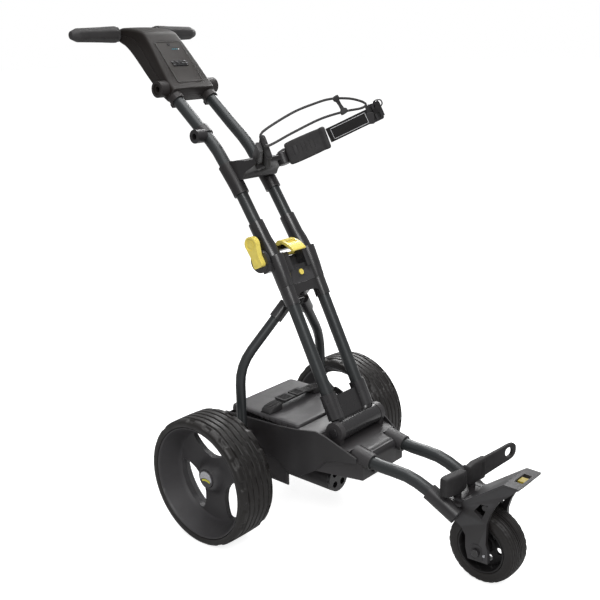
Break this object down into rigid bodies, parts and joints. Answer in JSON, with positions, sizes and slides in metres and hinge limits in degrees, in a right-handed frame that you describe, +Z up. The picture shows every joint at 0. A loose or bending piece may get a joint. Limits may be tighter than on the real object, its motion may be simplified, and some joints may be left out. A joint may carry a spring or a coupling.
{
  "type": "electric golf trolley",
  "caption": "Folding electric golf trolley with a pair of driven rear wheels, one front wheel, a two-tube frame with bag supports, a battery and worm drive, and a T-shaped handle.",
  "frame": {"origin": "on the ground at the middle of the whole trolley's footprint, 86.25 mm in front of the rear axle", "axes": "+Z up, -Y forward towards the front wheel, +X towards the operator's left, along the rear axle"},
  "size_m": [0.5756, 1.1066, 1.1055],
  "materials": {
    "chassis_tray": "satin black injection-moulded plastic",
    "chassis_deck": "satin black injection-moulded plastic",
    "side_panel_left": "satin black injection-moulded plastic",
    "side_panel_right": "satin black injection-moulded plastic",
    "front_tube_left": "dark anthracite metallic paint",
    "front_tube_right": "dark anthracite metallic paint",
    "front_fork": "satin black injection-moulded plastic",
    "shelf_key": "bright yellow moulded plastic",
    "front_axle_bolt": "turned steel",
    "motor_can": "dark anthracite metallic paint",
    "motor_end_cap": "satin black injection-moulded plastic",
    "gearbox_housing": "cast aluminium",
    "base_hinge_pin": "turned steel",
    "battery_case": "charcoal textured plastic",
    "battery_lid": "charcoal textured plastic",
    "battery_strap": "woven black webbing",
    "drive_axle": "turned steel",
    "worm_wheel": "machined bronze",
    "rear_rim_left": "dark grey moulded rim",
    "rear_rim_right": "dark grey moulded rim",
    "rear_tyre_left": "black soft rubber tread",
    "rear_tyre_right": "black soft rubber tread",
    "hub_cap_left": "silver painted cap",
    "hub_cap_right": "silver painted cap",
    "motor_rotor": "turned steel",
    "front_rim": "dark grey moulded rim",
    "front_tyre": "black soft rubber tread",
    "lower_tube_left": "dark anthracite metallic paint",
    "lower_tube_right": "dark anthracite metallic paint",
    "base_bracket": "satin black injection-moulded plastic",
    "pull_loop": "woven black webbing",
    "fold_block": "satin black injection-moulded plastic",
    "stay_collar": "satin black injection-moulded plastic",
    "release_button": "bright yellow moulded plastic",
    "stay_tube_left": "dark anthracite metallic paint",
    "stay_tube_right": "dark anthracite metallic paint",
    "stay_yoke": "satin black injection-moulded plastic",
    "upper_tube_left": "dark anthracite metallic paint",
    "upper_tube_right": "dark anthracite metallic paint",
    "upper_fold_block": "satin black injection-moulded plastic",
    "bag_saddle": "satin black injection-moulded plastic",
    "bag_pad_left": "matt black rubber",
    "bag_pad_right": "matt black rubber",
    "bungee_cord": "braided elastic cord",
    "bag_strap": "woven black webbing",
    "strap_buckle": "satin black injection-moulded plastic",
    "handle_body": "semi-gloss black moulded shell",
    "handle_cover": "semi-gloss black moulded shell",
    "control_panel": "gloss black display panel",
    "grip_left": "matt black rubber",
    "grip_right": "matt black rubber",
    "accessory_clip": "satin black injection-moulded plastic",
    "fold_lever": "bright yellow moulded plastic",
    "fold_catch": "bright yellow moulded plastic",
    "speed_dial": "satin black injection-moulded plastic",
    "power_button": "soft button",
    "cradle_arm_left": "matt black rubber",
    "cradle_arm_right": "matt black rubber"
  },
  "bodies": {
    "chassis": {"chassis_tray": "chassis_tray", "chassis_deck": "chassis_deck", "side_panel_left": "side_panel_left", "side_panel_right": "side_panel_right", "front_tube_left": "front_tube_left", "front_tube_right": "front_tube_right", "front_fork": "front_fork", "shelf_key": "shelf_key", "front_axle_bolt": "front_axle_bolt", "motor_can": "motor_can", "motor_end_cap": "motor_end_cap", "gearbox_housing": "gearbox_housing", "base_hinge_pin": "base_hinge_pin"},
    "battery": {"battery_case": "battery_case", "battery_lid": "battery_lid", "battery_strap": "battery_strap"},
    "drive": {"drive_axle": "drive_axle", "worm_wheel": "worm_wheel", "rear_rim_left": "rear_rim_left", "rear_rim_right": "rear_rim_right", "rear_tyre_left": "rear_tyre_left", "rear_tyre_right": "rear_tyre_right", "hub_cap_left": "hub_cap_left", "hub_cap_right": "hub_cap_right"},
    "rotor": {"motor_rotor": "motor_rotor"},
    "front_wheel": {"front_rim": "front_rim", "front_tyre": "front_tyre"},
    "lower_frame": {"lower_tube_left": "lower_tube_left", "lower_tube_right": "lower_tube_right", "base_bracket": "base_bracket", "pull_loop": "pull_loop", "fold_block": "fold_block", "stay_collar": "stay_collar"},
    "button": {"release_button": "release_button"},
    "stays": {"stay_tube_left": "stay_tube_left", "stay_tube_right": "stay_tube_right", "stay_yoke": "stay_yoke"},
    "upper_frame": {"upper_tube_left": "upper_tube_left", "upper_tube_right": "upper_tube_right", "upper_fold_block": "upper_fold_block", "bag_saddle": "bag_saddle", "bag_pad_left": "bag_pad_left", "bag_pad_right": "bag_pad_right", "bungee_cord": "bungee_cord", "bag_strap": "bag_strap", "strap_buckle": "strap_buckle", "handle_body": "handle_body", "handle_cover": "handle_cover", "control_panel": "control_panel", "grip_left": "grip_left", "grip_right": "grip_right", "accessory_clip": "accessory_clip"},
    "lever": {"fold_lever": "fold_lever"},
    "catch": {"fold_catch": "fold_catch"},
    "dial": {"speed_dial": "speed_dial"},
    "power": {"power_button": "power_button"},
    "cradle_left": {"cradle_arm_left": "cradle_arm_left"},
    "cradle_right": {"cradle_arm_right": "cradle_arm_right"}
  },
  "joints": [
    {"name": "rear_wheels_spin", "type": "hinge", "parent": "chassis", "child": "drive", "pos_m": [0, 0.08625, 0.145], "axis": [1, 0, 0], "continuous": true},
    {"name": "motor_spin", "type": "hinge", "parent": "chassis", "child": "rotor", "pos_m": [-0.038, 0.08625, 0.124], "axis": [0, -1, 0], "continuous": true},
    {"name": "front_wheel_spin", "type": "hinge", "parent": "chassis", "child": "front_wheel", "pos_m": [0, -0.46715, 0.0767], "axis": [1, 0, 0], "continuous": true},
    {"name": "base_fold", "type": "hinge", "parent": "chassis", "child": "lower_frame", "pos_m": [0, -0.13175, 0.252], "axis": [1, 0, 0], "range_deg": [0, 95]},
    {"name": "handle_fold", "type": "hinge", "parent": "lower_frame", "child": "upper_frame", "pos_m": [0, 0.06775, 0.6035], "axis": [-1, 0, 0], "range_deg": [0, 145.5]},
    {"name": "stay_fold", "type": "hinge", "parent": "chassis", "child": "stays", "pos_m": [0, 0.08625, 0.205], "axis": [1, 0, 0], "range_deg": [0, 48.5]},
    {"name": "lever_turn", "type": "hinge", "parent": "lower_frame", "child": "lever", "pos_m": [0, 0.06775, 0.6035], "axis": [-1, 0, 0], "range_deg": [0, 90]},
    {"name": "catch_tilt", "type": "hinge", "parent": "upper_frame", "child": "catch", "pos_m": [0, 0.06975, 0.633], "axis": [-1, 0, 0], "range_deg": [0, 25]},
    {"name": "button_press", "type": "slide", "parent": "lower_frame", "child": "button", "axis": [0, 0.8942, -0.4477], "range_m": [0, 0.003]},
    {"name": "dial_turn", "type": "hinge", "parent": "upper_frame", "child": "dial", "pos_m": [0, 0.38793, 1.01483], "axis": [1, 0, 0], "range_deg": [0, 270]},
    {"name": "power_press", "type": "slide", "parent": "upper_frame", "child": "power", "axis": [0, 0.7551, -0.6556], "range_m": [0, 0.0012]},
    {"name": "cradle_left_swing", "type": "hinge", "parent": "chassis", "child": "cradle_left", "pos_m": [0.027, -0.40975, 0.195], "axis": [0, 0, 1], "range_deg": [0, 15]},
    {"name": "cradle_right_swing", "type": "hinge", "parent": "chassis", "child": "cradle_right", "pos_m": [-0.027, -0.40975, 0.195], "axis": [0, 0, -1], "range_deg": [0, 15]},
    {"name": "battery_lift", "type": "slide", "parent": "chassis", "child": "battery", "axis": [0, 0, 1], "range_m": [0, 0.085]}
  ],
  "couplings": [
    {"joint": "motor_spin", "follows": "rear_wheels_spin", "ratio": 30},
    {"joint": "handle_fold", "follows": "base_fold", "ratio": 1.5263},
    {"joint": "stay_fold", "follows": "base_fold", "ratio": 0.50526}
  ]
}
